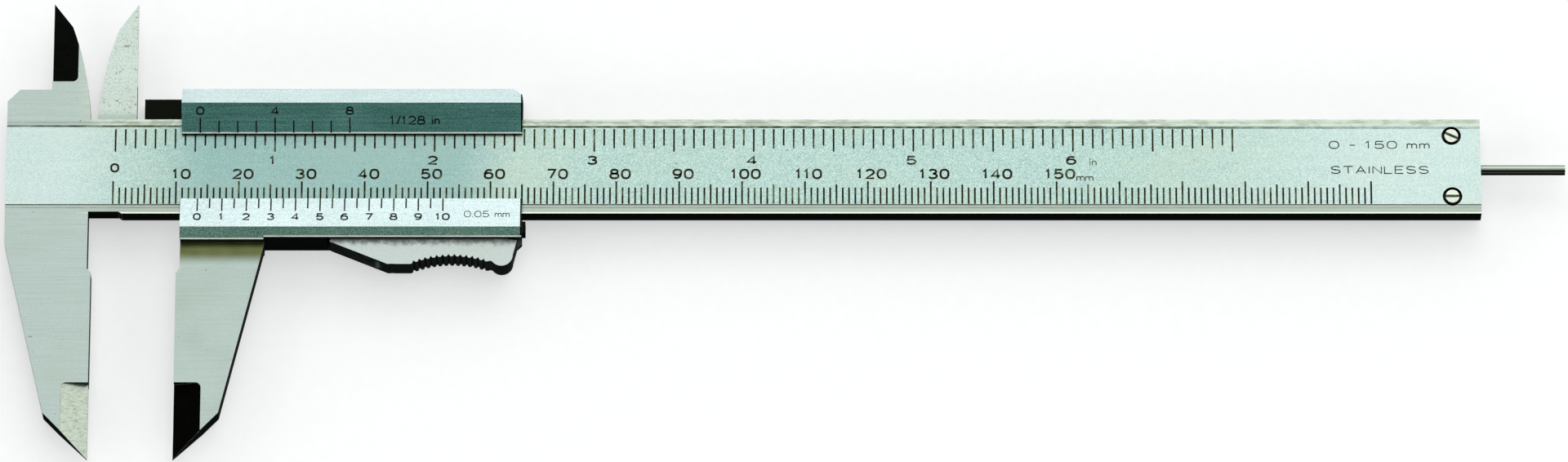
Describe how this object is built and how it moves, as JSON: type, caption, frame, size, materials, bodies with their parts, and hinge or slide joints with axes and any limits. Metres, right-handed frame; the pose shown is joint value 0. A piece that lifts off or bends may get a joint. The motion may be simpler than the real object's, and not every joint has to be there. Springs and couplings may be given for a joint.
{
  "type": "vernier caliper",
  "caption": "Vernier caliper lying on its back: outside and cross-tip inside jaws, sliding vernier, sprung thumb-lever lock and a round depth rod.",
  "frame": {"origin": "middle of the object's box in X and Y, on the face it rests on, with the jaws 13.5 mm open", "axes": "+X along the beam towards the depth rod's end, +Y towards the inside jaws, +Z out of the scale face"},
  "size_m": [0.248, 0.0772, 0.0074],
  "materials": {
    "beam_steel": "satin chromed scale band, ground jaws",
    "slide_steel": "satin ground steel",
    "lever_steel": "bead blasted",
    "rod_steel": "drawn bright steel",
    "screw_steel": "turned bright steel",
    "pin_steel": "ground pin steel",
    "spring_steel": "blued spring wire",
    "bronze": "rolled bronze",
    "scale_ink": "dark filling in engraved lines and numerals"
  },
  "bodies": {
    "beam": {"beam": "beam_steel", "end_stop_plate": "beam_steel", "end_screw_upper": "screw_steel", "end_screw_lower": "screw_steel"},
    "slide": {"slide": "slide_steel", "gib_strip": "bronze", "gib_screw_left": "screw_steel", "gib_screw_right": "screw_steel", "depth_rod": "rod_steel", "rod_carrier": "rod_steel", "rod_pin_left": "pin_steel", "rod_pin_right": "pin_steel", "lever_pivot_pin": "pin_steel", "lever_spring": "spring_steel"},
    "thumb_lever": {"thumb_lever": "lever_steel", "brake_adjust_screw": "screw_steel"},
    "brake_shoe": {"brake_shoe": "bronze"}
  },
  "joints": [
    {"name": "slide_travel", "type": "slide", "parent": "beam", "child": "slide", "axis": [1, 0, 0], "range_m": [-0.0135, 0.14]},
    {"name": "thumb_lever_press", "type": "hinge", "parent": "slide", "child": "thumb_lever", "pos_m": [-0.06005, -0.00105, 0], "axis": [0, 0, 1], "range_deg": [0, 3.5], "stiffness_Nm_per_rad": 0.01, "springref_deg": -17.19, "deforming": ["lever_spring"]},
    {"name": "brake_shoe_lift", "type": "slide", "parent": "slide", "child": "brake_shoe", "axis": [0, -1, 0], "range_m": [0, 0.0004]}
  ],
  "couplings": [
    {"joint": "brake_shoe_lift", "follows": "thumb_lever_press", "m_per_rad": 0.0057}
  ]
}
